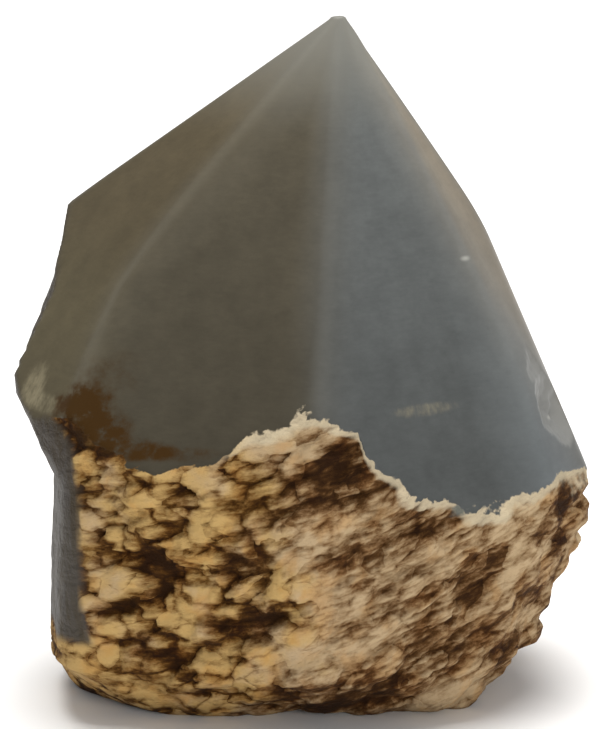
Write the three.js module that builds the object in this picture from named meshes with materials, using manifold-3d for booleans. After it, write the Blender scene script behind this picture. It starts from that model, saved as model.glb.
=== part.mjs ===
// A free-form mineral stone: a natural nodule with a lumpy rind, sawn flat below so that it stands,
// and ground above into flat polished faces that meet in a tip. It is one solid piece of stone.
// Millimetres, +Z up. The tip leans to the right of the foot and the front looks towards -Y.
import * as THREE from "three";
import { mergeVertices } from "three/addons/utils/BufferGeometryUtils.js";
import Module from "manifold-3d";

// The tip, over the middle of the foot. Azimuths and distances below are taken round its upright axis.
const tip = { x: 5.6, y: 1, z: 95.5 };

// Natural walls of the nodule. Each looks towards an azimuth in degrees (0 right, 90 back, 180 left,
// 270 front), and its profile gives pairs of height and distance from the axis.
const walls = [
  {
    azimuth: 187,
    profile: [[5, 41.3], [16, 41], [33, 40.2], [37, 41.5], [41, 43.6], [44, 45.2], [60, 47]],
  },
  { azimuth: 218, profile: [[6, 41], [12, 43.5], [60, 44]] },
  { azimuth: 257, profile: [[8, 29.5], [16, 31.2], [26, 31.6], [60, 30.5]] },
  { azimuth: 290, profile: [[8, 26], [18, 27.8], [28, 28.2], [60, 27]] },
  { azimuth: 328, profile: [[4, 26.5], [12, 29.8], [20, 32.2], [30, 34], [60, 34.5]] },
  {
    azimuth: 2,
    profile: [[2, 25.6], [8, 28.6], [13, 29.4], [17, 31.4], [21, 35], [27, 37], [31, 39]],
  },
  { azimuth: 48, profile: [[0, 25], [8, 29], [20, 32.5], [34, 34.5], [60, 34]] },
  { azimuth: 94, profile: [[0, 24], [14, 29.5], [30, 31.5], [60, 30]] },
  { azimuth: 138, profile: [[0, 31], [6, 34], [16, 37.5], [40, 39], [60, 37], [80, 33]] },
  {
    azimuth: 167,
    profile: [[4, 40.4], [33, 41], [44, 42.4], [50, 42], [57, 40.6], [68, 39.6], [80, 38]],
  },
];
const wallSharpness = 45; // how crisply neighbouring walls meet: higher is crisper

// Outline of the sawn foot, as pairs of azimuth and distance, and the height over which it flares out.
const footLine = [
  [0, 21], [50, 21], [100, 20], [125, 24], [145, 30], [165, 35], [180, 37.8], [187, 37.4],
  [199, 32.9], [212, 29.5], [223, 26.6], [232, 22.6], [242, 17.9], [250, 16.4], [290, 16.4],
  [307, 18.8], [323, 21.3], [342, 22],
];
const footRise = 8;
const footCurve = 0.75; // below 1 the foot flares fastest at the bottom

// Ground faces: the azimuth each looks to, its slope from the level, and a point it passes through.
const throughTip = [tip.x, tip.y, tip.z];
const groundFaces = [
  { azimuth: 218.7, slope: 46.3, point: throughTip }, // left
  { azimuth: 216, slope: 59.9, point: [-25.7, -14.3, 59.9] }, // low corner on the left
  { azimuth: 259.2, slope: 59.6, point: throughTip }, // front, left of the middle ridge
  { azimuth: 301.4, slope: 64.8, point: throughTip }, // front, right of the middle ridge
  { azimuth: 343, slope: 57.2, point: throughTip }, // right, near the tip
  { azimuth: 343, slope: 61.3, point: [13.7, -1.2, 82.5] }, // right, below it
  { azimuth: 10, slope: 70.4, point: [27.5, 6, 62.5] }, // right, round to the back
  { azimuth: 332, slope: 67, point: [33.1, -11.8, 39.5] }, // low corner on the right
  { azimuth: 62, slope: 63.2, point: throughTip }, // back right
  { azimuth: 103.2, slope: 61.8, point: throughTip }, // back left
  { azimuth: 275, slope: 12, point: [tip.x, tip.y, 94.7] }, // worn point of the tip
];

// A chip knocked out of the edge between the front and the right: shallow bites of balls that overlap.
const chips = [
  { at: [34, -6.3, 43.6], towards: [0.88, -0.32, 0.2], depth: 1.1, radius: 12 },
  { at: [32.2, -6.4, 48], towards: [0.88, -0.36, 0.3], depth: 0.8, radius: 8 },
];

// Where the natural rind starts, below the ground faces: pairs of azimuth and height.
const rindLine = [
  [0, 31.5], [9, 30], [20, 29], [45, 29.5], [70, 28.5], [95, 35], [120, 35], [130, 36],
  [140, 38.5], [150, 45.5], [158, 52.5], [165, 60.5], [171, 68.2], [175, 66.2], [178, 64.8],
  [181, 63.1], [185, 61.3], [187, 59.3], [189, 55.7], [190, 52.5], [192, 46.9], [198, 44],
  [204, 42.4], [213, 44], [217, 41.3], [224, 39.1], [231, 38], [235, 39.5], [241, 39.4],
  [245, 42.4], [252, 43.7], [260, 45.4], [268, 44.2], [274, 42.9], [276, 39.2], [281, 36.9],
  [290, 34.6], [299, 33.1], [303, 31.5], [314, 32.2], [323, 33.1], [329, 33.8], [340, 33.3],
  [350, 32.4],
];
const rindBlend = 15; // how far below the line the wall settles back to its own profile

// The rind's bedding rises to the right and dips to the back, and its lumps are flattened along it.
const beddingNormal = new THREE.Vector3(-0.4, 0.22, 0.88).normalize();
const lump = { length: 8.5, thickness: 5.4, height: 1.3, step: 0.6, flank: 0.5, share: 0.7 };
const swell = { length: 15, height: 1.7 };

// How much of the relief is left along the rind line, and on the smooth left side between two azimuths.
const lineRelief = { share: 0.3, reach: 5 };
const smoothSide = { from: 160, to: 214, fade: 6, share: 0.1 };

// Rings of points up the rough nodule, and the narrower ring above them that grinding takes away.
const columns = 140;
const rowStep = 1.75;
const topRow = 74;
const stub = { above: 5, radius: 12 };

const wasteSide = 300; // side of the block in front of a ground face
const weldDistance = 1e-4;
const ballDetail = 5;

const { degToRad: radians, smoothstep, clamp, lerp } = THREE.MathUtils;

// The value at `at` on straight lines between [position, value] pairs.
function along(pairs, at) {
  if (at <= pairs[0][0]) return pairs[0][1];
  for (let i = 1; i < pairs.length; i++) {
    const [from, low] = pairs[i - 1];
    const [to, high] = pairs[i];
    if (at <= to) return low + ((high - low) * (at - from)) / (to - from);
  }
  return pairs[pairs.length - 1][1];
}

// The same for pairs that start at azimuth 0 and go all the way round.
const around = (pairs, azimuth) => along([...pairs, [360, pairs[0][1]]], azimuth);

// A repeatable number from 0 to 1 for each cell of a grid: large odd numbers stir the cell's place.
const stirPlace = [73856093, 19349663, 83492791, 668265263];
const stirAgain = [2246822519, 3266489917];
function chance(...place) {
  let h = place.reduce((sum, number, i) => sum ^ Math.imul(number, stirPlace[i]), 0);
  h = Math.imul(h ^ (h >>> 15), stirAgain[0]);
  h = Math.imul(h ^ (h >>> 13), stirAgain[1]);
  return ((h ^ (h >>> 16)) >>> 0) / 2 ** 32;
}

// Smooth noise from 0 to 1 with one feature to each unit.
function softNoise(x, y, z, salt) {
  const [ix, iy, iz] = [Math.floor(x), Math.floor(y), Math.floor(z)];
  const ease = (t) => t * t * (3 - 2 * t);
  const [u, v, w] = [ease(x - ix), ease(y - iy), ease(z - iz)];
  let sum = 0;
  for (let i = 0; i < 8; i++) {
    const [a, b, c] = [i & 1, (i >> 1) & 1, i >> 2];
    const weight = (a ? u : 1 - u) * (b ? v : 1 - v) * (c ? w : 1 - w);
    sum += weight * chance(ix + a, iy + b, iz + c, salt);
  }
  return sum;
}

// Rounded cells: how far a point is from the edge of its cell, and a number of the cell's own.
function lumps(x, y, z, salt) {
  const [ix, iy, iz] = [Math.floor(x), Math.floor(y), Math.floor(z)];
  let near = Infinity;
  let next = Infinity;
  let own = 0;
  for (let i = ix - 1; i <= ix + 1; i++) {
    for (let j = iy - 1; j <= iy + 1; j++) {
      for (let k = iz - 1; k <= iz + 1; k++) {
        const dx = i + chance(i, j, k, salt) - x;
        const dy = j + chance(i, j, k, salt + 1) - y;
        const dz = k + chance(i, j, k, salt + 2) - z;
        const d = Math.hypot(dx, dy, dz);
        if (d < near) {
          next = near;
          near = d;
          own = chance(i, j, k, salt + 3);
        } else if (d < next) {
          next = d;
        }
      }
    }
  }
  return { edge: next - near, own };
}

const beddingAlong = new THREE.Vector3(0, 1, 0).cross(beddingNormal).normalize();
const beddingAcross = beddingNormal.clone().cross(beddingAlong);

// How far the rind stands out at a point: lumps and low steps between them, on a broad swell.
const lumpSalt = 11;
const swellSalt = 5;
function relief(x, y, z) {
  const p = new THREE.Vector3(x, y, z);
  const u = p.dot(beddingAlong) / lump.length;
  const v = p.dot(beddingAcross) / lump.length;
  const w = p.dot(beddingNormal) / lump.thickness;
  const { edge, own } = lumps(u, v, w, lumpSalt);
  const dome = smoothstep(edge, 0, lump.flank) - lump.share;
  p.divideScalar(swell.length);
  const broad = softNoise(p.x, p.y, p.z, swellSalt) - 0.5;
  return lump.height * dome + lump.step * (own - 0.5) + 2 * swell.height * broad;
}

// Distance from the axis to the natural walls, rounded where two of them meet.
function wallAt(azimuth, z) {
  let sum = 0;
  for (const wall of walls) {
    const facing = Math.max(Math.cos(radians(azimuth - wall.azimuth)), 0);
    sum += (facing / along(wall.profile, z)) ** wallSharpness;
  }
  return sum ** (-1 / wallSharpness);
}

const groundPlanes = groundFaces.map(({ azimuth, slope, point }) => {
  const [a, s] = [radians(azimuth), radians(slope)];
  const normal = new THREE.Vector3(Math.cos(a) * Math.sin(s), Math.sin(a) * Math.sin(s), Math.cos(s));
  return new THREE.Plane().setFromNormalAndCoplanarPoint(normal, new THREE.Vector3(...point));
});

// Distance from the axis to the nearest ground face.
function groundAt(azimuth, z) {
  const outward = new THREE.Vector3(Math.cos(radians(azimuth)), Math.sin(radians(azimuth)), 0);
  const onAxis = new THREE.Vector3(tip.x, tip.y, z);
  const reach = groundPlanes.map((plane) => {
    const facing = plane.normal.dot(outward);
    return facing > 0 ? -plane.distanceToPoint(onAxis) / facing : Infinity;
  });
  return Math.min(...reach);
}

// How much of the relief a place keeps.
function roughness(azimuth, z, line) {
  const { from, to, fade, share } = smoothSide;
  const onSide = smoothstep(azimuth, from - fade, from) * (1 - smoothstep(azimuth, to, to + fade));
  const offLine = smoothstep(line - z, 0, lineRelief.reach);
  return lerp(lineRelief.share, 1, offLine) * lerp(1, share, onSide);
}

// Distance from the axis to the rough nodule: its walls rise from the foot, are eased so that they pass
// through the ground faces at the rind line, and carry the rind's relief.
function noduleAt(azimuth, z) {
  const line = around(rindLine, azimuth);
  const flare = clamp(z / footRise, 0, 1) ** footCurve;
  const radius = lerp(around(footLine, azimuth), wallAt(azimuth, z), flare);
  const missing = groundAt(azimuth, line) - wallAt(azimuth, line);
  const eased = radius + missing * (1 - smoothstep(line - z, 0, rindBlend));
  const x = tip.x + eased * Math.cos(radians(azimuth));
  const y = tip.y + eased * Math.sin(radians(azimuth));
  return eased + roughness(azimuth, z, line) * relief(x, y, z);
}

// A closed mesh of rings of points up the nodule, flat below and above. Odd rings are turned by half a
// column, so that the triangles between two rings lean both ways.
function nodule() {
  const heights = [];
  for (let z = 0; z < topRow + rowStep; z += rowStep) heights.push(z);
  heights.push(tip.z + stub.above);
  const topRing = heights.length - 1;
  const position = [];
  const index = [];
  heights.forEach((z, row) => {
    for (let i = 0; i < columns; i++) {
      const azimuth = (360 * (i + (row % 2) / 2)) / columns;
      const r = row === topRing ? stub.radius : noduleAt(azimuth, z);
      const [c, s] = [Math.cos(radians(azimuth)), Math.sin(radians(azimuth))];
      position.push(tip.x + r * c, tip.y + r * s, z);
    }
  });
  const ring = (row, i) => row * columns + (i % columns);
  for (let row = 0; row < topRing; row++) {
    for (let i = 0; i < columns; i++) {
      const [a, b] = [ring(row, i), ring(row, i + 1)];
      const [c, d] = [ring(row + 1, i), ring(row + 1, i + 1)];
      if (row % 2) index.push(a, d, c, a, b, d);
      else index.push(a, b, c, b, d, c);
    }
  }
  const foot = heights.length * columns;
  const top = foot + 1;
  position.push(tip.x, tip.y, 0, tip.x, tip.y, heights[topRing]);
  for (let i = 0; i < columns; i++) {
    index.push(foot, ring(0, i + 1), ring(0, i));
    index.push(top, ring(topRing, i), ring(topRing, i + 1));
  }
  const geometry = new THREE.BufferGeometry();
  geometry.setAttribute("position", new THREE.Float32BufferAttribute(position, 3));
  return geometry.setIndex(index);
}

const wasm = await Module();
wasm.setup();

// The solid that a closed geometry bounds.
function solid(geometry) {
  const bare = geometry.clone();
  bare.deleteAttribute("normal");
  bare.deleteAttribute("uv");
  const merged = mergeVertices(bare, weldDistance);
  return new wasm.Manifold(
    new wasm.Mesh({
      numProp: 3,
      vertProperties: merged.attributes.position.array,
      triVerts: new Uint32Array(merged.index.array),
    }),
  );
}

// Grinds a flat face: takes away everything in front of the plane.
function grind(stone, plane) {
  const waste = new THREE.BoxGeometry(wasteSide, wasteSide, wasteSide).translate(0, 0, wasteSide / 2);
  const onPlane = plane.normal.clone().multiplyScalar(-plane.constant);
  const turn = new THREE.Quaternion().setFromUnitVectors(new THREE.Vector3(0, 0, 1), plane.normal);
  waste.applyQuaternion(turn).translate(onPlane.x, onPlane.y, onPlane.z);
  return stone.subtract(solid(waste));
}

// Takes a bite out of the stone.
function bite(stone, { at, towards, depth, radius }) {
  const middle = new THREE.Vector3(...towards).setLength(radius - depth);
  middle.add(new THREE.Vector3(...at));
  return stone.subtract(solid(new THREE.IcosahedronGeometry(radius, ballDetail).translate(...middle)));
}

const ground = chips.reduce(bite, groundPlanes.reduce(grind, solid(nodule())));

// The finished stone, moved so that the middle of its foot plan stands at the origin.
const cut = ground.getMesh();
const geometry = new THREE.BufferGeometry();
geometry.setAttribute("position", new THREE.BufferAttribute(cut.vertProperties, cut.numProp));
geometry.setIndex(new THREE.BufferAttribute(cut.triVerts, 1));
geometry.computeBoundingBox();
const middle = geometry.boundingBox.getCenter(new THREE.Vector3());

const stone = new THREE.Mesh(
  geometry,
  new THREE.MeshStandardMaterial({ color: 0x5f6360, roughness: 0.35, metalness: 0 }),
);
stone.name = "angelite_stone";
stone.position.set(-middle.x, -middle.y, 0);

const part = new THREE.Group();
part.add(stone);
export default part;
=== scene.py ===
import math

import bpy
import numpy as np
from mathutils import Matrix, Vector


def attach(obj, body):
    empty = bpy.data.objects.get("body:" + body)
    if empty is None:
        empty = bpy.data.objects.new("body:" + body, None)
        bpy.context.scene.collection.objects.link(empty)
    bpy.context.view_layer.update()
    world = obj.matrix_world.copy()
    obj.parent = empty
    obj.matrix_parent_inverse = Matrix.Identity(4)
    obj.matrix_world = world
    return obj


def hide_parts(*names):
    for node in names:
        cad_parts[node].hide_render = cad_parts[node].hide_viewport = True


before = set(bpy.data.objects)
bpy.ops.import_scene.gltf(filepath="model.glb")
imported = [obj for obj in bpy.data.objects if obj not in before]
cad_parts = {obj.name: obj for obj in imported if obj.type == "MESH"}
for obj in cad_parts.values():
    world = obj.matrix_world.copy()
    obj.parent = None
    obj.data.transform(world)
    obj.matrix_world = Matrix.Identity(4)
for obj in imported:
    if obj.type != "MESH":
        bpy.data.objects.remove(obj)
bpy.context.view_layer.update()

# the stone's shape, in millimetres and degrees; azimuth 0 is right, 90 back, 180 left and 270 front
stoneShape = {
    "tip": (4.8727, -1.689, 95.5),
    "wornHeight": 94.7,
    "wornSlope": 12,  # the worn point leans this much, towards the next azimuth
    "wornAzimuth": 275,
    "wornCrown": 0.35,
    "wallSharpness": 45,
    "footRise": 8,
    "footCurve": 0.75,
    "rindBlend": 15,
    "rollLimit": 0.2,  # towards the tip, rolls and the painted ridge highlights narrow to these shares of the faces' reach
    "ridgeHighlightLimit": 0.13,
    "ridgeHighlightWidth": 2.2,
    "bandHighlightWidth": 5.8,
    "bandHighlightFades": (265, 46, 14),  # the painted highlight band: up to this azimuth it starts at this height, and is whole so much higher
    "toneBlend": 1.2,
    "chipGrain": ((2, 0.6, 41), (1, 0.4, 42)),  # size, share and seed
    "chipRoughness": 1.2,
    "chipEdge": 0.2,
    "columns": 440,
    "rows": ((0, 0.42), (46, 0.62), (69, 0.85), (94.2, 0)),  # from this height on, this step
    "footRings": 10,
    "capRings": 4,
    "clear": 5,  # how far the surface that isn't seen stands off, at the foot and at the tip
}
tipX, tipY, tipZ = stoneShape["tip"]
onTip = (0, 0, tipZ)

# the large lumps of the rough nodule, as the solid has them
lumpShape = {
    "axis": (5.6, 1),  # they are placed from the solid's axis
    "bedNormal": (-0.4, 0.22, 0.88),
    "length": 8.5,
    "thickness": 5.4,
    "height": 1.3,
    "flank": 0.5,
    "sunkShare": 0.7,
    "step": 0.6,
    "seed": 11,
    "broadSize": 15,
    "broadHeight": 3.4,
    "broadSeed": 5,
    "atLine": 0.3,  # the share of the relief that is left where the rind ends, and how soon it is whole
    "lineWidth": 5,
    "smoothSide": (154, 214, 6, 0.9),  # from and to these azimuths, over so many degrees, so much smoother
}

# the natural walls: azimuth, then pairs of height and distance from the tip's axis
walls = (
    (187, ((5, 41.3), (16, 41), (33, 40.2), (37, 41.5), (41, 43.6), (44, 45.2), (60, 47))),
    (218, ((6, 41), (12, 43.5), (60, 44))),
    (257, ((8, 29.5), (16, 31.2), (26, 31.6), (60, 30.5))),
    (290, ((8, 26), (18, 27.8), (28, 28.2), (60, 27))),
    (328, ((4, 26.5), (12, 29.8), (20, 32.2), (30, 34), (60, 34.5))),
    (2, ((2, 25.6), (8, 28.6), (13, 29.4), (17, 31.4), (21, 35), (27, 37), (31, 39))),
    (48, ((0, 25), (8, 29), (20, 32.5), (34, 34.5), (60, 34))),
    (94, ((0, 24), (14, 29.5), (30, 31.5), (60, 30))),
    (138, ((0, 31), (6, 34), (16, 37.5), (40, 39), (60, 37), (80, 33))),
    (167, ((4, 40.4), (33, 41), (44, 42.4), (50, 42), (57, 40.6), (68, 39.6), (80, 38))),
)
# pairs of azimuth and the foot's distance from the tip's axis
footLine = (
    (0, 21), (50, 21), (100, 20), (125, 24), (145, 30), (165, 35), (180, 37.8), (187, 37.4), (199, 32.9),
    (212, 29.5), (223, 26.6), (232, 22.6), (242, 17.9), (250, 16.4), (290, 16.4), (307, 18.8),
    (323, 21.3), (342, 22),
)
# pairs of azimuth and the height where the rind ends and the ground faces begin
rindLine = (
    (0, 31.5), (9, 30), (20, 29), (45, 29.5), (70, 28.5), (95, 35), (120, 35), (130, 36), (140, 38.5),
    (150, 45.5), (158, 52.5), (165, 60.5), (171, 68.2), (175, 66.2), (178, 64.8), (181, 63.1),
    (185, 61.3), (187, 59.3), (189, 55.7), (190, 52.5), (192, 46.9), (198, 44), (204, 42.4), (213, 44),
    (217, 41.3), (224, 39.1), (231, 38), (235, 39.5), (241, 39.4), (245, 42.4), (252, 43.7),
    (260, 45.4), (268, 44.2), (274, 42.9), (276, 39.2), (281, 36.9), (290, 34.6), (299, 33.1),
    (303, 31.5), (314, 32.2), (323, 33.1), (329, 33.8), (340, 33.3), (350, 32.4),
)
# the ground faces: the side that each belongs to, the azimuth it looks to, its slope from the level, a
# point on it, how softly it rolls into the faces before it, and its tone, partly the stone's own colour
# and partly painted reflection and shade
groundFaces = (
    ("left", 218.7, 46.3, onTip, 0.15, (0.058, 0.046, 0.026)),
    ("left", 216, 59.9, (-31.3, -15.3, 59.9), 1.5, (0.079, 0.066, 0.038)),
    ("frontLeft", 259.2, 59.6, onTip, 0.14, (0.052, 0.045, 0.031)),
    ("frontRight", 301.4, 64.8, onTip, 0.25, (0.071, 0.076, 0.075)),
    ("right", 343, 57.2, onTip, 0.4, (0.138, 0.12, 0.092)),
    ("right", 343, 61.3, (8.1, -2.2, 82.5), 0.8, (0.156, 0.131, 0.095)),
    ("right", 10, 70.4, (21.9, 5, 62.5), 0.5, (0.142, 0.12, 0.088)),
    ("lowRight", 332, 67, (27.5, -12.8, 39.5), 0.15, (0.122, 0.137, 0.146)),
    ("backRight", 62, 63.2, onTip, 0.2, (0.079, 0.076, 0.065)),
    ("backLeft", 103.2, 61.8, onTip, 0.2, (0.06, 0.053, 0.038)),
)
# how strong the painted highlight is along the ridges between the sides, and in the broad bands beside the
# ridges, by azimuth
ridgeHighlightShares = (
    (0, 0.9), (90, 0.55), (180, 0.55), (228, 0.95), (245, 0.95), (268, 0.4), (292, 0.5), (312, 1),
)
bandHighlightShares = (
    (0, 0.3), (90, 0.1), (180, 0.1), (228, 0.55), (250, 0.55), (262, 0.22), (298, 0.22), (312, 0.85),
)
# bites out of the ground faces: place from the axis, the way it looks, depth and radius of the ball
bites = (
    ((28.4, -7.3, 43.6), (0.88, -0.32, 0.2), 1.1, 12),
    ((26.6, -7.4, 48), (0.88, -0.36, 0.3), 0.8, 8),
    ((17.8, -7.3, 62.5), (0.75, -0.55, 0.2), 0.25, 1.2),
    ((30.0, -8.4, 40.4), (0.85, -0.5, 0.1), 0.3, 1.4),
)


def along(pairs, at):
    return np.interp(at, [p[0] for p in pairs], [p[1] for p in pairs])


def around(pairs, azimuth):
    return np.interp(azimuth, [p[0] for p in pairs], [p[1] for p in pairs], period=360)


def ease(t):
    t = np.clip(t, 0, 1)
    return t * t * (3 - 2 * t)


def chance(ix, iy, iz, salt):
    # a share that the whole numbers settle, stirred as in the solid, so the lumps fall in the same places
    low = 0xFFFFFFFF
    h = (ix * 73856093 & low) ^ (iy * 19349663 & low) ^ (iz * 83492791 & low) ^ (salt * 668265263 & low)
    h = h.astype(np.uint64)
    h = (h ^ (h >> np.uint64(15))) * np.uint64(2246822519) & np.uint64(low)
    h = (h ^ (h >> np.uint64(13))) * np.uint64(3266489917) & np.uint64(low)
    return (h ^ (h >> np.uint64(16))).astype(float) / (low + 1)


def softNoise(x, y, z, salt):
    ix, iy, iz = (np.floor(a).astype(np.int64) for a in (x, y, z))
    u, v, w = ease(x - ix), ease(y - iy), ease(z - iz)
    total = 0
    for corner in range(8):
        a, b, c = corner & 1, corner >> 1 & 1, corner >> 2
        weight = (u if a else 1 - u) * (v if b else 1 - v) * (w if c else 1 - w)
        total = total + chance(ix + a, iy + b, iz + c, salt) * weight
    return total


def lumps(x, y, z, salt):
    # how far inside its own cell each point lies, and a share that the whole cell has in common
    ix, iy, iz = (np.floor(a).astype(np.int64) for a in (x, y, z))
    far = 9.0
    near, following, own = np.full(x.shape, far), np.full(x.shape, far), np.zeros(x.shape)
    for di in (-1, 0, 1):
        for dj in (-1, 0, 1):
            for dk in (-1, 0, 1):
                i, j, k = ix + di, iy + dj, iz + dk
                dx = i + chance(i, j, k, salt) - x
                dy = j + chance(i, j, k, salt + 1) - y
                dz = k + chance(i, j, k, salt + 2) - z
                d = np.sqrt(dx * dx + dy * dy + dz * dz)
                closer = d < near
                following = np.where(closer, near, np.minimum(following, d))
                own = np.where(closer, chance(i, j, k, salt + 3), own)
                near = np.where(closer, d, near)
    return following - near, own


def relief(x, y, z):
    # the large lumps lie along the stone's bedding
    normal = np.array(lumpShape["bedNormal"])
    normal /= np.linalg.norm(normal)
    level = np.cross((0, 1, 0), normal)
    level /= np.linalg.norm(level)
    across = np.cross(normal, level)
    p = np.stack((x, y, z), -1)
    length, thickness = lumpShape["length"], lumpShape["thickness"]
    edge, own = lumps(p @ level / length, p @ across / length, p @ normal / thickness, lumpShape["seed"])
    size = lumpShape["broadSize"]
    broad = softNoise(x / size, y / size, z / size, lumpShape["broadSeed"]) - 0.5
    domes = lumpShape["height"] * (ease(edge / lumpShape["flank"]) - lumpShape["sunkShare"])
    return domes + lumpShape["step"] * (own - 0.5) + lumpShape["broadHeight"] * broad


def wallAt(azimuth, z):
    total = np.zeros(np.broadcast(azimuth, z).shape)
    for facing, profile in walls:
        turned = np.maximum(np.cos(np.radians(azimuth - facing)), 0)
        total = total + (turned / along(profile, z)) ** stoneShape["wallSharpness"]
    return total ** (-1 / stoneShape["wallSharpness"])


def groundReaches(azimuth, z):
    # distance from the axis to each ground face; one that looks the other way is met far out
    c, s = np.cos(np.radians(azimuth)), np.sin(np.radians(azimuth))
    reaches = []
    for _, facing, slope, point, *_ in groundFaces:
        a, t = math.radians(facing), math.radians(slope)
        normal = (math.cos(a) * math.sin(t), math.sin(a) * math.sin(t), math.cos(t))
        outward = np.maximum(normal[0] * c + normal[1] * s, 0.01)
        reaches.append((np.dot(normal, point) - normal[2] * z) / outward)
    return reaches


def groundAt(azimuth, z):
    # the nearest ground face, rolled over gently where two of them meet, the painted ridge highlight, and
    # its tone, partly the stone's colour and partly painted reflection and shade
    reaches = groundReaches(azimuth, z)
    reach = reaches[0]
    for this, (_, _, _, _, roll, _) in zip(reaches[1:], groundFaces[1:]):
        width = np.minimum(roll, stoneShape["rollLimit"] * np.maximum(np.minimum(reach, this), 0.01))
        near = np.maximum(1 - np.abs(reach - this) / (4 * width), 0)
        reach = np.minimum(reach, this) - near * near * width

    # the faces of one side have no ridge between them, and so no painted ridge highlight
    sides = {}
    for this, (side, *_) in zip(reaches, groundFaces):
        sides[side] = np.minimum(sides.get(side, this), this)
    nearest, following = np.partition(np.stack(list(sides.values())), 1, axis=0)[:2]
    apart = (following - nearest) / np.minimum(1, stoneShape["ridgeHighlightLimit"] * np.maximum(nearest, 0.01))
    # painted highlight: paler along each ridge, and in a broader band beside it
    ridgeHighlight = around(ridgeHighlightShares, azimuth) * (1 - ease(apart / stoneShape["ridgeHighlightWidth"]))
    bandHighlight = around(bandHighlightShares, azimuth) * (1 - ease(apart / stoneShape["bandHighlightWidth"]))
    lastAzimuth, start, rise = stoneShape["bandHighlightFades"]
    ridgeHighlight = np.maximum(ridgeHighlight, bandHighlight * np.where(azimuth < lastAzimuth, ease((z - start) / rise), 1))

    # the tones blended here carry painted reflection and shade as well as the stone's own colour
    shares = [np.exp(-(this - reach) / stoneShape["toneBlend"]) for this in reaches]
    tone = sum(share[..., None] * np.array(face[5]) for share, face in zip(shares, groundFaces))
    return reach, ridgeHighlight, tone / sum(shares)[..., None]


def noduleAt(azimuth, z):
    # distance from the axis to the rough nodule, and the height where its rind ends
    line = around(rindLine, azimuth)
    flare = np.clip(z / stoneShape["footRise"], 0, 1) ** stoneShape["footCurve"]
    foot = around(footLine, azimuth)
    radius = foot + (wallAt(azimuth, z) - foot) * flare
    missing = np.minimum.reduce(groundReaches(azimuth, line)) - wallAt(azimuth, line)
    eased = radius + missing * (1 - ease((line - z) / stoneShape["rindBlend"]))
    axisX, axisY = lumpShape["axis"]
    x = axisX + eased * np.cos(np.radians(azimuth))
    y = axisY + eased * np.sin(np.radians(azimuth))
    first, last, soft, smoothed = lumpShape["smoothSide"]
    onSide = ease((azimuth - first) / soft) * (1 - ease((azimuth - last) / soft))
    atLine = lumpShape["atLine"]
    rough = atLine + (1 - atLine) * ease((line - z) / lumpShape["lineWidth"])
    return eased + rough * (1 - smoothed * onSide) * relief(x, y, z), line


def roughNodule():
    # rings of points up the stone, each with its own reach to the rough wall and to the ground faces
    heights = []
    for (start, step), (end, _) in zip(stoneShape["rows"], stoneShape["rows"][1:]):
        heights += list(np.arange(start, end - step / 2, step))
    heights.append(stoneShape["rows"][-1][0])
    columns = stoneShape["columns"]
    z, azimuth = np.meshgrid(heights, np.arange(columns) * 360 / columns, indexing="ij")
    rough, line = noduleAt(azimuth, z)
    ground, ridgeHighlight, tone = groundAt(azimuth, z)

    # each bite takes away what stands inside its ball, with a broken surface
    bitten = np.zeros(z.shape)
    c, s = np.cos(np.radians(azimuth)), np.sin(np.radians(azimuth))
    chipped = 0
    for size, share, seed in stoneShape["chipGrain"]:
        chipped = chipped + share * softNoise(ground * c / size, ground * s / size, z / size, seed)
    for place, way, depth, radius in bites:
        way = np.array(way) / np.linalg.norm(way)
        middle = np.array(place) + way * (radius - depth)
        b = middle[0] * c + middle[1] * s
        inside = radius**2 - (middle[0] ** 2 + middle[1] ** 2 - b * b) - (z - middle[2]) ** 2
        entry = b - np.sqrt(np.maximum(inside, 0))
        bite = np.where((inside > 0) & (entry > 0), ground - entry, -1.0)
        bite = bite - (chipped - 0.5) * stoneShape["chipRoughness"] * depth
        ground = np.where(bite > 0, ground - bite, ground)
        bitten = np.maximum(bitten, ease(0.5 + bite / stoneShape["chipEdge"]))

    # the sawn foot is closed by rings that shrink to the axis, and so is the worn point of the tip
    footRings, capRings, clear = stoneShape["footRings"], stoneShape["capRings"], stoneShape["clear"]
    footShares = [1 - i / (footRings + 1) for i in range(footRings, 0, -1)]
    capShares = [1 - i / (capRings + 1) for i in range(1, capRings + 1)]
    footReach = np.array([rough[0] * share for share in footShares])
    capReach = np.array([np.minimum(rough[-1], ground[-1]) * share for share in capShares])
    turned = np.cos(np.radians(azimuth[0] - stoneShape["wornAzimuth"]))
    lean = math.tan(math.radians(stoneShape["wornSlope"])) * capReach * turned
    crown = np.array([[stoneShape["wornCrown"] * share**3] for share in capShares])
    capHeight = stoneShape["wornHeight"] - lean - crown

    def stacked(values, atFoot, atCap):
        foot = np.broadcast_to(atFoot, (footRings, *values.shape[1:]))
        cap = np.broadcast_to(atCap, (capRings, *values.shape[1:]))
        return np.concatenate((foot, values, cap))

    return {
        "rough": stacked(rough, footReach, capReach + clear),
        "ground": stacked(ground, footReach + clear, capReach),
        "z": stacked(z, 0, capHeight),
        "azimuth": stacked(azimuth, azimuth[0], azimuth[0]),
        "line": stacked(line, line[0], line[0]),
        "ridgeHighlight": stacked(ridgeHighlight, 0, 1),
        "tone": stacked(tone, 0, tone[-1]),
        "bitten": stacked(bitten, 0, 0),
        "sawn": stacked(0 * z, 1, 0),
    }


def ringFaces(rows, columns, footPoint, topPoint):
    i = np.arange(columns)
    after = (i + 1) % columns
    faces = [np.stack((footPoint + 0 * i, after, i), 1)]
    for row in range(rows - 1):
        a, b = row * columns + i, row * columns + after
        faces.append(np.stack((a, b, b + columns, a + columns), 1))
    last = (rows - 1) * columns
    faces.append(np.stack((topPoint + 0 * i, last + i, last + after), 1))
    return [f for block in faces for f in block.tolist()]


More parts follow.
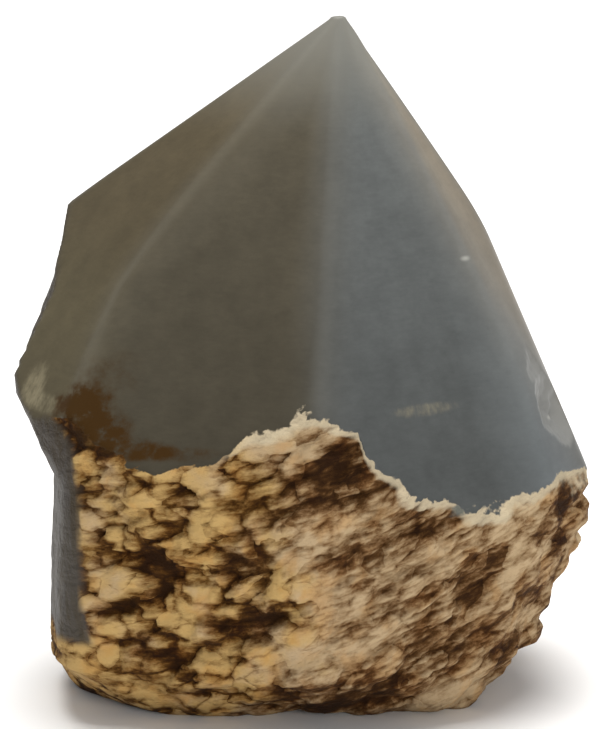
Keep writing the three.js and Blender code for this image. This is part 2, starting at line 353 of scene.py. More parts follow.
def storePoints(mesh, name, values):
    values = np.asarray(values, np.float32)
    kind, key = ("FLOAT_VECTOR", "vector") if values.ndim == 2 else ("FLOAT", "value")
    mesh.attributes.new(name, kind, "POINT").data.foreach_set(key, values.ravel())


# the bedding runs level on the left and rises to the right, and dips towards the back
bedShape = {"turnStart": -16, "turnLength": 30, "rise": 0.5, "dip": 0.25}


def bedding(x, y, z):
    start, length, rise = bedShape["turnStart"], bedShape["turnLength"], bedShape["rise"]
    turn = np.clip((x - start) / length, 0, 1)
    lift = length * rise * turn**2 / 2 + np.maximum(x - (start + length), 0) * rise
    return x, y, z - lift + bedShape["dip"] * y


# the rind's darker pockets and paler plates, and one dark strip of painted shade at the front foot: place,
# reach along the bedding and across it, how much paler
rindPatches = (
    ((-5.2, -31.6, 35.5), 4.2, 2.4, -0.25),
    ((3.2, -30.8, 37.3), 4.5, 4.5, -0.4),
    ((-16.9, -31.4, 32.7), 1.8, 3.2, -0.3),
    ((-20.4, -28.1, 22.9), 2.4, 2.8, -0.5),
    ((-26.0, -25.5, 17.7), 2.6, 1.4, -0.5),
    ((-10.1, -30.6, 26.2), 1.8, 2.2, -0.2),
    ((-4.7, -31.8, 18.8), 3.2, 1.8, -0.4),
    ((-17.6, -26.3, 9.8), 6.0, 2.5, -0.1),
    # painted shade: a dark strip where the front foot turns in under the stone
    ((8.1, -23.8, 4.7), 8.0, 1.8, -0.35),
    ((8.0, -31.4, 21.8), 5.5, 6.0, -0.12),
    ((35.2, -13.8, 26.5), 3.5, 4.0, -0.45),
    ((11.4, -30.1, 27.6), 9.0, 1.3, -0.3),
    ((23.4, -24.3, 22.5), 4.0, 2.2, -0.3),
    ((15.5, -26.5, 16.0), 5.0, 1.8, -0.12),
    ((26.7, -19.1, 8.9), 2.2, 2.2, -0.3),
    ((-27.1, -26.9, 43.1), 3.5, 3.0, -0.5),
    ((-25.5, -26.7, 22.1), 3.4, 2.2, 0.35),
    ((-16.5, -27.4, 18.1), 3.4, 2.8, 0.35),
    ((-0.7, -33.0, 24.7), 6.0, 8.0, 0.25),
    ((-7.4, -29.5, 10.4), 9.0, 2.6, 0.3),
    ((-21.8, -20.6, 3.6), 5.0, 1.8, 0.3),
    ((-15.1, -31.6, 38.6), 2.8, 1.9, 0.35),
    ((-1.4, -31.0, 42.7), 6.0, 2.0, 0.3),
    ((-22.4, -30.5, 33.8), 5.0, 3.4, 0.22),
    ((22.3, -26.1, 27.9), 8.0, 2.0, 0.15),
    ((27.2, -22.0, 21.1), 3.0, 2.2, 0.15),
    ((4.2, -29.8, 11.6), 6.0, 2.2, 0.25),
    ((20.5, -20.8, 4.2), 6.0, 2.5, 0.4),
    ((-12.5, -31.5, 31.0), 5.0, 2.6, 0.2),
    ((-31.0, -21.5, 9.0), 5.0, 3.0, 0.4),
    ((-31.5, -13.5, 5.0), 6.0, 2.2, 0.35),
    ((-31.5, -25.5, 41.5), 2.5, 2.0, -0.35),
)
# other marks, in the same way but for how strong they are: rust that crept over the ground faces and the
# rind beside them, grey half-ground rind, and pale scuffs, which lie level instead of along the bedding
stains = (
    ((-30.5, -24.5, 45.5), 4.0, 2.2, 0.8),
    ((-27.0, -26.5, 42.2), 3.6, 2.4, 1.0),
    ((-22.5, -29.0, 40.2), 4.5, 1.4, 0.7),
    ((-16.0, -30.5, 40.0), 4.5, 1.0, 0.45),
    ((-26.5, -25.5, 50.5), 5.0, 4.5, 0.3),
)
greyed = (
    ((24.5, -25.0, 33.2), 5.5, 1.4, 1.0),
)
scuffs = (
    ((-37.0, -16.5, 46.5), 2.5, 4.5, 0.9),
    ((-34.0, -20.5, 44.5), 3.0, 1.4, 0.7),
    ((16.0, -23.2, 44.4), 5.5, 0.9, 0.65),
)


def marksAt(spot, marks, laid):
    # a mark is whole at its place, and gone at about twice its reach
    here = laid(*spot)
    total = np.zeros(here[0].shape)
    for place, level, thick, share in marks:
        there = laid(*(np.array(p) for p in place))
        apart = sum(((a - b) / reach) ** 2 for a, b, reach in zip(here, there, (level, level, thick)))
        total += share * np.exp(-apart**2 / 2)
    return total


# the smooth weathered band down the left side: where a wander has two numbers, the first is how far the
# broad noise takes it and the second how far the fine noise does
sideBand = {
    "back": 152,
    "backWander": (26, 8),
    "backSoftness": 6,
    "front": 215.5,
    "frontDrawnBack": ((38, 0), (40, 1), (42.4, 3.6), (43.5, 7), (45, 12)),  # at this height, so much
    "frontWander": 1.6,
    "frontSoftness": 1.2,
    "foot": 11.5,
    "footWander": 1.6,
    "footSoftness": 1.8,
    "footBehind": 3,  # how much lower the foot is behind
    "footBehindWander": (9, 3),
    "footTurns": (196, 14),  # where that starts, and how many degrees it takes
    "aboveLine": 3,
}
# where the rind changes round the stone: a start and a length that the change takes
rindPlaces = {
    "flaky": (-18, 34),
    "crust": (-14, 8),
    "farRight": (20, 12),
    "nearLine": 4,  # this far below the ground faces
    "lowLeft": ((150, 8), (220, 20), (12, 4)),  # from and to these azimuths, and up to this height
    # how much of the relief each place takes away
    "smoother": {
        "side": 0.93,
        "lowLeft": 0.7,
        "sawn": 1,
        "nearLine": 0.5,
        "flaky": 0.35,
        "farRight": 0.75,
    },
    "atFoot": (0.35, 3),  # the share of relief at the foot, and where it is whole
    "broadNoise": (12, 32),  # size and seed
    "fineNoise": (5, 31),
}


def makeRoughStone():
    grid = roughNodule()
    z, azimuth, line = grid["z"], grid["azimuth"], grid["line"]
    c, s = np.cos(np.radians(azimuth)), np.sin(np.radians(azimuth))
    x, y = tipX + grid["rough"] * c, tipY + grid["rough"] * s
    points = np.stack((x, y, z), -1).reshape(-1, 3)
    points = np.vstack((points, (tipX, tipY, 0), (tipX, tipY, stoneShape["wornHeight"])))
    faces = ringFaces(*z.shape, len(points) - 2, len(points) - 1)
    mesh = bpy.data.meshes.new("stone")
    mesh.from_pydata((points / 1000).tolist(), [], faces)

    def whole(values, atFoot=0.0, atTop=0.0):
        return np.concatenate((np.broadcast_to(values, z.shape).ravel(), (atFoot, atTop)))

    def wandering(size, seed):
        return softNoise(x / size, y / size, z / size, seed) - 0.5

    def started(values, start, length):
        return ease((values - start) / length)

    # the band down the left side
    broad, fine = wandering(*rindPlaces["broadNoise"]), wandering(*rindPlaces["fineNoise"])
    back = sideBand["back"] + sideBand["backWander"][0] * broad + sideBand["backWander"][1] * fine
    front = sideBand["front"] - along(sideBand["frontDrawnBack"], z) + sideBand["frontWander"] * fine
    firstTurn, turnLength = sideBand["footTurns"]
    behind = ease((firstTurn - azimuth) / turnLength)
    lower = sideBand["footBehind"]
    lower = lower + sideBand["footBehindWander"][0] * broad + sideBand["footBehindWander"][1] * fine
    foot = sideBand["foot"] + sideBand["footWander"] * fine - behind * lower
    side = started(azimuth, back, sideBand["backSoftness"])
    side = side * ease((front - azimuth) / sideBand["frontSoftness"])
    side = side * started(z, foot, sideBand["footSoftness"]) * (z < line + sideBand["aboveLine"])

    # how much of the rind's relief is left in each place
    lowBack, lowFront, lowHeight = rindPlaces["lowLeft"]
    lowLeft = started(azimuth, *lowBack) * (1 - started(azimuth, *lowFront)) * (1 - started(z, *lowHeight))
    places = {
        "side": side,
        "lowLeft": lowLeft,
        "sawn": grid["sawn"],
        "nearLine": 1 - ease((line - z) / rindPlaces["nearLine"]),
        "flaky": started(x, *rindPlaces["flaky"]),
        "farRight": started(x, *rindPlaces["farRight"]),
    }
    atFoot, footLength = rindPlaces["atFoot"]
    rough = atFoot + (1 - atFoot) * ease(z / footLength)
    for name, smoothed in rindPlaces["smoother"].items():
        rough = rough * (1 - smoothed * places[name])

    # places on the stone's own surface, for the marks: the ground one where it is ground
    reach = np.minimum(grid["rough"], grid["ground"])
    marked = (tipX + reach * c, tipY + reach * s, z)
    clear = stoneShape["clear"]
    storePoints(mesh, "outward", np.stack((whole(c), whole(s), whole(0)), 1))
    storePoints(mesh, "roughReach", whole(grid["rough"], 0, clear) / 1000)
    storePoints(mesh, "groundReach", whole(grid["ground"], clear, 0) / 1000)
    storePoints(mesh, "roughShare", whole(rough))
    storePoints(mesh, "sideFace", whole(side))
    storePoints(mesh, "sawnFace", whole(grid["sawn"], 1, 0))
    storePoints(mesh, "flakyShare", whole(places["flaky"]))
    storePoints(mesh, "crustShare", whole(started(x, *rindPlaces["crust"])))
    # each face's tone, partly the stone's own colour and partly painted reflection and shade
    storePoints(mesh, "stoneToneAndPaintedLight", np.stack([whole(a) for a in np.moveaxis(grid["tone"], -1, 0)], 1))
    storePoints(mesh, "bed", np.stack([whole(a) for a in bedding(x, y, z)], 1) / 1000)
    for name in ("ridgeHighlight", "bitten"):
        storePoints(mesh, name, whole(grid[name], 0, grid[name][-1, 0]))
    for name, marks in (("patchTone", rindPatches), ("stain", stains), ("greyed", greyed)):
        storePoints(mesh, name, whole(marksAt(marked, marks, bedding)))
    storePoints(mesh, "scuff", whole(marksAt(marked, scuffs, lambda *spot: spot)))
    return mesh


def addNode(tree, kind, inputs=None, **settings):
    made = tree.nodes.new(kind)
    for name, value in settings.items():
        setattr(made, name, value)
    for socket, value in (inputs or {}).items():
        if isinstance(value, bpy.types.NodeSocket):
            tree.links.new(value, made.inputs[socket])
        else:
            made.inputs[socket].default_value = value
    return made


def sums(tree, operation, *values):
    return addNode(tree, "ShaderNodeMath", dict(enumerate(values)), operation=operation).outputs[0]


def vectorSums(tree, operation, *values):
    made = addNode(tree, "ShaderNodeVectorMath", dict(enumerate(values)), operation=operation)
    return made.outputs["Value" if operation == "LENGTH" else "Vector"]


def scaled(tree, vector, factor):
    inputs = {0: vector, "Scale": factor}
    return addNode(tree, "ShaderNodeVectorMath", inputs, operation="SCALE").outputs["Vector"]


def between(tree, value, low, high, start=0.0, end=1.0, smooth=True):
    inputs = {"Value": value, "From Min": low, "From Max": high, "To Min": start, "To Max": end}
    kind = "SMOOTHSTEP" if smooth else "LINEAR"
    return addNode(tree, "ShaderNodeMapRange", inputs, interpolation_type=kind).outputs["Result"]


# one field makes the rind's relief and its colours: pale lumps and flakes stand over dark hollows, whose
# dark is partly the rind's own brown and partly painted shade
rindGrain = {
    "octaveFade": 0.6,
    "reliefDetail": 1.0,
    "colourDetail": 5.0,
    "broadDetail": 1.0,
    "driftDetail": 2.0,
    # a cell is highest at its middle: the distance where its dome ends, and where it is whole
    "lumpDome": (0.8, 0.2),
    "flakeDome": (0.75, 0.1),
    # how many cells of each cloud go in the length of one flake or lump
    "flakeCloud": 0.6,
    "lumpCloud": 0.9,
    "broadCloud": 0.35,
    "broadestCloud": 0.13,
    # how much of each the field has, on the left and on the flaky right
    "shares": {
        "lumpDome": (0.45, 0.2),
        "lumpOwn": (0.38, 0.3),
        "flakeDome": (0.14, 0.25),
        "flakeOwn": (0.1, 0.1),
        "flakeCloud": (0.9, 0.65),
        "lumpCloud": (0.2, 0.9),
        "broadCloud": (0.5, 0.5),
        "broadestCloud": (0.5, 0.5),
        "level": (0.23, 0.26),
    },
}


def rindField(tree, lumpSpot, flakeSpot, flaky, tone, detail):
    def cells(place, dome):
        made = addNode(tree, "ShaderNodeTexVoronoi", {"Vector": place, "Scale": 1.0}, feature="F1").outputs
        own = addNode(tree, "ShaderNodeSeparateXYZ", {"Vector": made["Color"]}).outputs["X"]
        return between(tree, made["Distance"], *rindGrain[dome]), sums(tree, "SUBTRACT", own, 0.5)

    def cloud(place, name, octaves):
        inputs = {
            "Vector": place,
            "Scale": rindGrain[name],
            "Detail": rindGrain[octaves],
            "Roughness": rindGrain["octaveFade"],
        }
        made = addNode(tree, "ShaderNodeTexNoise", inputs)
        return sums(tree, "SUBTRACT", made.outputs[0], 0.5)

    lumpDome, lumpOwn = cells(lumpSpot, "lumpDome")
    flakeDome, flakeOwn = cells(flakeSpot, "flakeDome")
    parts = {
        "lumpDome": lumpDome,
        "lumpOwn": lumpOwn,
        "flakeDome": flakeDome,
        "flakeOwn": flakeOwn,
        "flakeCloud": cloud(flakeSpot, "flakeCloud", detail),
        "lumpCloud": cloud(lumpSpot, "lumpCloud", detail),
        "broadCloud": cloud(lumpSpot, "broadCloud", "broadDetail"),
        "broadestCloud": cloud(lumpSpot, "broadestCloud", "broadDetail"),
        "level": 1.0,
    }
    field = tone
    for name, part in parts.items():
        share = between(tree, flaky, 0.0, 1.0, *rindGrain["shares"][name])
        field = sums(tree, "ADD", field, sums(tree, "MULTIPLY", part, share))
    return field


# the rind's relief and the grinding, as one node tree: its inputs in metres, and then plain numbers
rindRelief = {
    "Lump length": (0.0041, "DISTANCE"),
    "Lump thickness": (0.0025, "DISTANCE"),
    "Flake length": (0.0024, "DISTANCE"),
    "Flake thickness": (0.0007, "DISTANCE"),
    "Relief height": (0.0013, "DISTANCE"),
    "Wander": (0.0018, "DISTANCE"),
    "Wander size": (0.0035, "DISTANCE"),
    "Edge softness": (0.0001, "DISTANCE"),
    "Lump wander": (2.0, "NONE"),
    "Flake wander": (0.5, "NONE"),
    "Lowest field": (0.05, "NONE"),
    "Highest field": (0.68, "NONE"),
    "Sunk share": (0.65, "NONE"),
    "Seed": (4.0, "NONE"),
}


def rindTree(material):
    tree = bpy.data.node_groups.new("rindAndGrinding", "GeometryNodeTree")
    tree.interface.new_socket("Geometry", in_out="INPUT", socket_type="NodeSocketGeometry")
    for name, (_, kind) in rindRelief.items():
        socket = tree.interface.new_socket(name, in_out="INPUT", socket_type="NodeSocketFloat")
        socket.subtype = kind
    tree.interface.new_socket("Geometry", in_out="OUTPUT", socket_type="NodeSocketGeometry")
    given = addNode(tree, "NodeGroupInput").outputs

    def read(name, kind="FLOAT"):
        made = addNode(tree, "GeometryNodeInputNamedAttribute", {"Name": name}, data_type=kind)
        return made.outputs["Attribute"]

    def keep(geometry, name, value, kind="FLOAT"):
        inputs = {"Geometry": geometry, "Name": name, "Value": value}
        return addNode(tree, "GeometryNodeStoreNamedAttribute", inputs, data_type=kind).outputs["Geometry"]

    # cells of the lumps' and the flakes' size, laid along the bedding and pushed about
    bed = read("bed", "FLOAT_VECTOR")
    finer = sums(tree, "DIVIDE", 1.0, given["Wander size"])
    inputs = {"Vector": bed, "W": given["Seed"], "Scale": finer, "Detail": rindGrain["driftDetail"]}
    noise = addNode(tree, "ShaderNodeTexNoise", inputs, noise_dimensions="4D").outputs["Color"]
    drift = vectorSums(tree, "SUBTRACT", noise, (0.5, 0.5, 0.5))

    def spots(kind, shift):
        length, thickness = given[kind + " length"], given[kind + " thickness"]
        pushed = scaled(tree, drift, sums(tree, "MULTIPLY", given["Wander"], given[kind + " wander"]))
        place = vectorSums(tree, "ADD", bed, pushed)
        size = addNode(tree, "ShaderNodeCombineXYZ", {"X": length, "Y": length, "Z": thickness}).outputs[0]
        return vectorSums(tree, "ADD", vectorSums(tree, "DIVIDE", place, size), shift)

    # the shift keeps the flakes' cells from lining up with the lumps'
    lumpSpot = spots("Lump", (0.0, 0.0, 0.0))
    flakeSpot = spots("Flake", (7.0, 3.0, 5.0))
    field = rindField(tree, lumpSpot, flakeSpot, read("flakyShare"), read("patchTone"), "reliefDetail")

    # the rough surface, ground down wherever it stands over the ground faces
    height = between(tree, field, given["Lowest field"], given["Highest field"])
    height = sums(tree, "SUBTRACT", height, given["Sunk share"])
    height = sums(tree, "MULTIPLY", height, given["Relief height"])
    started = read("roughReach")
    rough = sums(tree, "ADD", started, sums(tree, "MULTIPLY", height, read("roughShare")))
    ground = read("groundReach")
    reach = sums(tree, "SMOOTH_MIN", rough, ground, given["Edge softness"])
    step = scaled(tree, read("outward", "FLOAT_VECTOR"), sums(tree, "SUBTRACT", reach, started))
    stone = keep(given["Geometry"], "stand", sums(tree, "SUBTRACT", rough, ground))
    stone = keep(stone, "lumpSpot", lumpSpot, "FLOAT_VECTOR")
    stone = keep(stone, "flakeSpot", flakeSpot, "FLOAT_VECTOR")
    stone = addNode(tree, "GeometryNodeSetPosition", {"Geometry": stone, "Offset": step}).outputs[0]
    stone = addNode(tree, "GeometryNodeSetShadeSmooth", {"Geometry": stone}).outputs[0]
    stone = addNode(tree, "GeometryNodeRealizeInstances", {"Geometry": stone}).outputs[0]
    stone = addNode(tree, "GeometryNodeSetMaterial", {"Geometry": stone, "Material": material}).outputs[0]
    addNode(tree, "NodeGroupOutput", {"Geometry": stone})
    return tree


# the stone's finish
finish = {
    # the painted ridge highlight's colours, warm on the left and cool on the right, and how strong it is
    "paleHighlight": (0.16, 0.15, 0.12),
    "coolHighlight": (0.15, 0.165, 0.17),
    "highlightShare": 0.33,
    "worn": (0.2, 0.198, 0.175),
    "crust": (0.5, 0.43, 0.3),
    "crustStrength": 0.75,
    "fresh": (0.19, 0.19, 0.18),
    "freshShare": 0.6,
    "rust": (0.034, 0.0145, 0.001),
    "ochre": (1.0, 0.8, 0.55),
    "scuff": (0.27, 0.235, 0.15),
    "nick": (0.33, 0.33, 0.3),
    "nicks": (((0.0222, -0.0093, 0.0624), 0.0011), ((0.0338, -0.0086, 0.04), 0.0009)),  # place and reach
    "nickShape": (0.8, 0.8, 2.4),  # a larger number is narrower that way
    "greyRind": (0.1, 0.11, 0.1),
    "side": (0.051, 0.04, 0.026),
    "sideGrey": (0.062, 0.055, 0.047),
    "sideBrown": (0.03, 0.019, 0.01),
    "sawn": (0.2, 0.18, 0.15),
    "groundRoughness": 0.34,
    "gloss": 0.12,
    "bumpDepth": 0.0004,
    "fieldBump": 1.5,
    # the rind from its deepest hollows to the tops of its lumps, on the left and on the right; the darkest
    # steps are partly the rind's own brown and partly painted shade in the hollows
    "yellowRind": (
        (0.0, (0.018, 0.006, 0.0005)),
        (0.2, (0.036, 0.013, 0.0012)),
        (0.35, (0.07, 0.029, 0.004)),
        (0.5, (0.16, 0.08, 0.02)),
        (0.65, (0.26, 0.158, 0.055)),
        (0.95, (0.44, 0.29, 0.11)),
    ),
    "pinkRind": (
        (0.0, (0.02, 0.007, 0.001)),
        (0.2, (0.038, 0.015, 0.003)),
        (0.35, (0.074, 0.033, 0.009)),
        (0.5, (0.152, 0.083, 0.035)),
        (0.65, (0.255, 0.168, 0.087)),
        (0.95, (0.41, 0.3, 0.175)),
    ),
}
# the finish's noises: size in millimetres, detail, roughness, and how some are squeezed and turned
finishNoises = {
    "mottle": (3.5, 5.0, 0.65),
    "clouds": (14, 2.0, 0.5),
    "brushing": (0.5, 4.0, 0.7, (0.3, 0.3, 1.0)),
    "rustEdge": (2.2, 5.0, 0.65),
    "scratches": (0.9, 4.0, 0.7, (1.0, 1.0, 0.25), (0.3, 0.9, 0.0)),
    "crumbs": (1.3, 4.0, 0.7, (1.0, 1.0, 1.8)),
    "seamWander": (1.2, 3.0, 0.5),
    "seamPlaces": (4.3, 3.0, 0.5),
    "pinkPlaces": (6, 3.0, 0.5),
    "ochrePlaces": (3.4, 3.0, 0.5),
    "crustEdge": (1.5, 3.0, 0.5),
    "greyPlaces": (1.2, 3.0, 0.5),
    "sideStreaks": (1.6, 3.0, 0.5, (1.0, 1.0, 0.12)),
    "groundEdge": (0.9, 3.0, 0.5),
    "grain": (0.7, 4.0, 0.5),
}
# what is made of a noise, a height or a mark: as it goes from the first value to the second, the result
# goes from the third to the fourth; places are in metres
finishSteps = {
    "mottle": (0.3, 0.7, 0.9, 1.1),
    "clouds": (0.3, 0.7, 0.95, 1.05),
    "brushing": (0.25, 0.75, 0.92, 1.08),
    # painted light: the ground faces grow lighter upwards and darker downwards
    "paintedLightUpwards": (0.035, 0.085, 0.78, 1.35),
    "nearTip": (0.078, 0.0955, 0.0, 0.75),
    "rustEdge": (0.0, 1.0, -0.8, 2.8),
    "rustOnGround": (0.1, 0.9, 0.0, 0.96),
    "rustOnRind": (0.2, 0.9, 0.0, 0.75),
    "nicked": (1.1, 0.1, 0.0, 0.8),
    "scratches": (0.0, 1.0, 0.2, 1.8),
    "scuffed": (0.3, 1.3, 0.0, 0.6),
    "crumbs": (0.0, 1.0, -0.289, 0.561),
    "seamWander": (0.0, 1.0, -0.175, 0.175),
    "seamDepth": (0.0, 0.16, 0.3, 0.0),
    "seamOnRight": (0.0, 0.7, 1.0, 0.2),
    "seamPlaces": (0.42, 0.6, 0.05, 1.0),
    "pinkPlaces": (0.0, 1.0, -0.9, 1.1),
    "pinker": (0.1, 0.7, 0.0, 1.0),
    "ochrePlaces": (0.48, 0.68, 0.0, 0.55),
    "crustEdge": (0.0, 1.0, -0.0004, 0.0004),
    "crustWidth": (-0.0009, -0.0003, 0.0, 1.0),
    "greyPlaces": (0.2, 0.45, 0.0, 0.9),
    "sideStreaks": (0.35, 0.65, 0.0, 1.0),
    "sideBrown": (0.026, 0.037, 0.0, 0.35),
    "groundEdge": (0.0, 1.0, -0.0003, 0.0003),
    "edgeWidth": (0.0, 1.0, 0.00008, 0.0008),
    "rindRoughness": (0.0, 1.0, 0.88, 0.5),
    "bump": (0.0, 1.0, 0.7, 0.02),
}


def stoneMaterial():
    material = bpy.data.materials.new("angelite")
    material.use_nodes = True
    tree = material.node_tree
    tree.nodes.clear()

    def read(name, vector=False):
        made = addNode(tree, "ShaderNodeAttribute", attribute_name=name, attribute_type="GEOMETRY")
        return made.outputs["Vector" if vector else "Fac"]

    def mix(share, first, second, blend="MIX"):
        made = addNode(tree, "ShaderNodeMix", data_type="RGBA", blend_type=blend)
        for socket, value in ((made.inputs[0], share), (made.inputs[6], first), (made.inputs[7], second)):
            if isinstance(value, bpy.types.NodeSocket):
                tree.links.new(value, socket)
            else:
                socket.default_value = (*value, 1) if isinstance(value, tuple) else value
        return made.outputs[2]

    def plus(first, second):
        return sums(tree, "ADD", first, second)

    def times(first, second):
        return sums(tree, "MULTIPLY", first, second)

    def noise(name, place):
        size, detail, roughness, *laid = finishNoises[name]
        if laid:
            laid = dict(zip(("Scale", "Rotation"), laid))
            place = addNode(tree, "ShaderNodeMapping", {"Vector": place, **laid}).outputs[0]
        inputs = {"Vector": place, "Scale": 1000 / size, "Detail": detail, "Roughness": roughness}
        return addNode(tree, "ShaderNodeTexNoise", inputs).outputs["Fac"]

    def eased(name, value):
        return between(tree, value, *finishSteps[name])

    def straight(name, value):
        return between(tree, value, *finishSteps[name], smooth=False)

    def tones(field, steps):
        made = addNode(tree, "ShaderNodeValToRGB", {"Fac": field})
        while len(made.color_ramp.elements) < len(steps):
            made.color_ramp.elements.new(0.5)
        for element, (at, tone) in zip(made.color_ramp.elements, steps):
            element.position, element.color = at, (*tone, 1)
        return made.outputs["Color"]

    here = addNode(tree, "ShaderNodeTexCoord").outputs["Object"]
    z = addNode(tree, "ShaderNodeSeparateXYZ", {"Vector": here}).outputs["Z"]
    bed = read("bed", vector=True)
    lumpSpot, flakeSpot = read("lumpSpot", vector=True), read("flakeSpot", vector=True)
    stand, flaky, side = read("stand"), read("flakyShare"), read("sideFace")

    # the ground faces: each face's tone, partly the stone's own colour and partly painted reflection and
    # shade, mottled and brushed, with painted light that grows upwards, a painted highlight on the ridges,
    # and paler at the worn tip
    uneven = times(straight("mottle", noise("mottle", here)), straight("clouds", noise("clouds", here)))
    uneven = times(uneven, straight("brushing", noise("brushing", here)))
    # painted light: the ground faces grow lighter upwards and darker downwards, as the light falls
    uneven = times(uneven, straight("paintedLightUpwards", z))
    ground = scaled(tree, read("stoneToneAndPaintedLight", vector=True), uneven)
    # the painted highlight colour, warm on the left and cool on the right
    paleHighlight = mix(flaky, finish["paleHighlight"], finish["coolHighlight"])
    ground = mix(times(read("ridgeHighlight"), finish["highlightShare"]), ground, paleHighlight)
    ground = mix(eased("nearTip", z), ground, finish["worn"])
    ground = mix(times(read("bitten"), finish["freshShare"]), ground, finish["fresh"])
    rusty = times(read("stain"), straight("rustEdge", noise("rustEdge", here)))
    ground = mix(eased("rustOnGround", rusty), ground, finish["rust"])
    for place, reach in finish["nicks"]:
        away = vectorSums(tree, "SUBTRACT", here, place)
        away = vectorSums(tree, "MULTIPLY", away, [share / reach for share in finish["nickShape"]])
        away = vectorSums(tree, "LENGTH", away)
        ground = mix(eased("nicked", away), ground, finish["nick"])
    scuffed = times(read("scuff"), straight("scratches", noise("scratches", here)))
    ground = mix(eased("scuffed", scuffed), ground, finish["scuff"])

    # the rind: the field that made its relief, with crumbs and dark seams between some lumps; the dark of
    # the hollows and seams is partly the rind's own brown and partly painted shade
    field = rindField(tree, lumpSpot, flakeSpot, flaky, read("patchTone"), "colourDetail")
    field = plus(field, straight("crumbs", noise("crumbs", bed)))
    cells = {"Vector": lumpSpot, "Scale": 1.0}
    edge = addNode(tree, "ShaderNodeTexVoronoi", cells, feature="DISTANCE_TO_EDGE").outputs["Distance"]
    edge = plus(edge, straight("seamWander", noise("seamWander", here)))
    seam = times(eased("seamDepth", edge), eased("seamOnRight", flaky))
    seam = times(seam, eased("seamPlaces", noise("seamPlaces", bed)))
    field = sums(tree, "SUBTRACT", field, seam)
    pinker = eased("pinker", plus(flaky, straight("pinkPlaces", noise("pinkPlaces", bed))))
    rind = mix(pinker, tones(field, finish["yellowRind"]), tones(field, finish["pinkRind"]))
    rind = mix(eased("ochrePlaces", noise("ochrePlaces", bed)), rind, finish["ochre"], "MULTIPLY")
    crust = eased("crustWidth", plus(stand, straight("crustEdge", noise("crustEdge", here))))
    crust = times(times(crust, finish["crustStrength"]), read("crustShare"))
    rind = mix(crust, rind, finish["crust"])
    rind = mix(eased("rustOnRind", rusty), rind, finish["rust"])
    greyer = times(read("greyed"), noise("greyPlaces", here))
    rind = mix(eased("greyPlaces", greyer), rind, finish["greyRind"])

    # the smooth band down the left side, and the sawn foot
    streaks = eased("sideStreaks", noise("sideStreaks", here))
    sideStone = mix(streaks, finish["side"], finish["sideGrey"])
    sideStone = mix(eased("sideBrown", z), sideStone, finish["sideBrown"])
    rind = mix(side, rind, sideStone)
    rind = mix(read("sawnFace"), rind, finish["sawn"])

    # the ground faces begin where the rough surface stands over them, with a softer edge on the side
    soft = straight("edgeWidth", side)
    edgeSpot = plus(stand, straight("groundEdge", noise("groundEdge", here)))
    polished = between(tree, edgeSpot, times(soft, -1.0), soft)
    colour = mix(polished, rind, ground)
    ends = (straight("rindRoughness", side), finish["groundRoughness"])
    roughness = between(tree, polished, 0.0, 1.0, *ends, smooth=False)
    grain = plus(noise("grain", here), times(field, finish["fieldBump"]))
    bumps = {"Strength": eased("bump", polished), "Distance": finish["bumpDepth"], "Height": grain}
    bump = addNode(tree, "ShaderNodeBump", bumps)
    surface = {
        "Base Color": colour,
        "Roughness": roughness,
        "Normal": bump.outputs[0],
        "Specular IOR Level": finish["gloss"],
    }
    shader = addNode(tree, "ShaderNodeBsdfPrincipled", surface)
    addNode(tree, "ShaderNodeOutputMaterial", {"Surface": shader.outputs[0]})
    return material


angelite = stoneMaterial()
rough = bpy.data.objects.new("roughStone", makeRoughStone())
bpy.context.scene.collection.objects.link(rough)
print("rough nodule:", len(rough.data.vertices), "points")

modifier = rough.modifiers.new("rindAndGrinding", "NODES")
modifier.node_group = rindTree(angelite)
for item in modifier.node_group.interface.items_tree:
    if item.in_out == "INPUT" and item.name in rindRelief:
        modifier[item.identifier] = rindRelief[item.name][0]
settled = bpy.context.evaluated_depsgraph_get()
stoneMesh = bpy.data.meshes.new_from_object(rough.evaluated_get(settled), depsgraph=settled)
bpy.data.objects.remove(rough)
stone = bpy.data.objects.new("groundStone", stoneMesh)
bpy.context.scene.collection.objects.link(stone)
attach(stone, "root")
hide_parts("angelite_stone")
print("stone:", sum(len(f.vertices) - 2 for f in stoneMesh.polygons), "triangles")

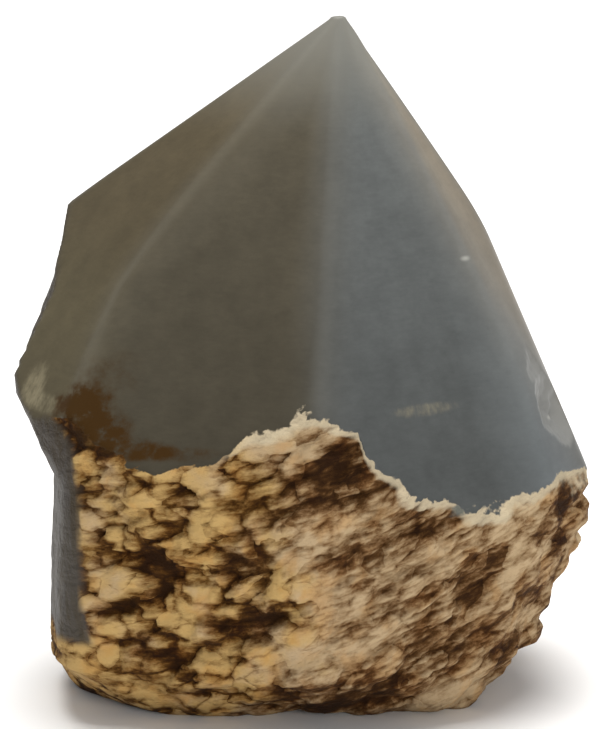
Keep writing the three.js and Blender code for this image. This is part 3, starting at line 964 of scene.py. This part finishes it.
# floor, lights and camera; a lamp is its place, size, power and colour
studio = {
    "floorRadius": 4.0,
    "floorSides": 64,
    "floorColour": (0.86, 0.86, 0.86, 1),
    "floorRoughness": 0.9,
    "world": ((0.95, 0.97, 1.0, 1), 0.45),
    "overhead": ((0.0, 0.15, 2.0), 1.6, 60, (1.0, 0.98, 0.95)),
    "front": ((0.55, -1.05, 0.3), 0.4, 5, (1.0, 0.97, 0.93)),
    "lampAim": (0, 0, 0.045),
    "lens": 141.1,
    "nearest": 0.01,  # what is nearer to the camera than this isn't drawn
    "camera": (-0.000727, -0.393949, 0.129365),
    "cameraAim": (-0.000727, -0.002689, 0.0462),
}


def aimed(made, place, aim):
    made.location = place
    made.rotation_euler = (Vector(aim) - Vector(place)).to_track_quat("-Z", "Y").to_euler()
    bpy.context.scene.collection.objects.link(made)
    return made


radius, sides = studio["floorRadius"], studio["floorSides"]
turns = np.linspace(0, 2 * math.pi, sides, endpoint=False)
floorMesh = bpy.data.meshes.new("floor")
corners = [(radius * math.cos(a), radius * math.sin(a), 0) for a in turns]
floorMesh.from_pydata(corners, [], [tuple(range(sides))])
floor = bpy.data.objects.new("floor", floorMesh)
bpy.context.scene.collection.objects.link(floor)
paper = bpy.data.materials.new("palePaper")
paper.use_nodes = True
paperInputs = paper.node_tree.nodes["Principled BSDF"].inputs
paperInputs["Base Color"].default_value = studio["floorColour"]
paperInputs["Roughness"].default_value = studio["floorRoughness"]
floorMesh.materials.append(paper)

world = bpy.data.worlds.new("studio")
world.use_nodes = True
worldInputs = world.node_tree.nodes["Background"].inputs
worldInputs["Color"].default_value, worldInputs["Strength"].default_value = studio["world"]
bpy.context.scene.world = world
for name in ("overhead", "front"):
    place, size, power, colour = studio[name]
    lamp = bpy.data.lights.new(name, "AREA")
    lamp.shape, lamp.size, lamp.energy, lamp.color = "DISK", size, power, colour
    aimed(bpy.data.objects.new(name, lamp), place, studio["lampAim"])

lens = bpy.data.cameras.new("photoCamera")
lens.lens = studio["lens"]
lens.clip_start = studio["nearest"]
camera = aimed(bpy.data.objects.new("photoCamera", lens), studio["camera"], studio["cameraAim"])
bpy.context.scene.camera = camera
bpy.context.scene.view_settings.view_transform = "Standard"
print("studio: floor, two lamps and the camera")
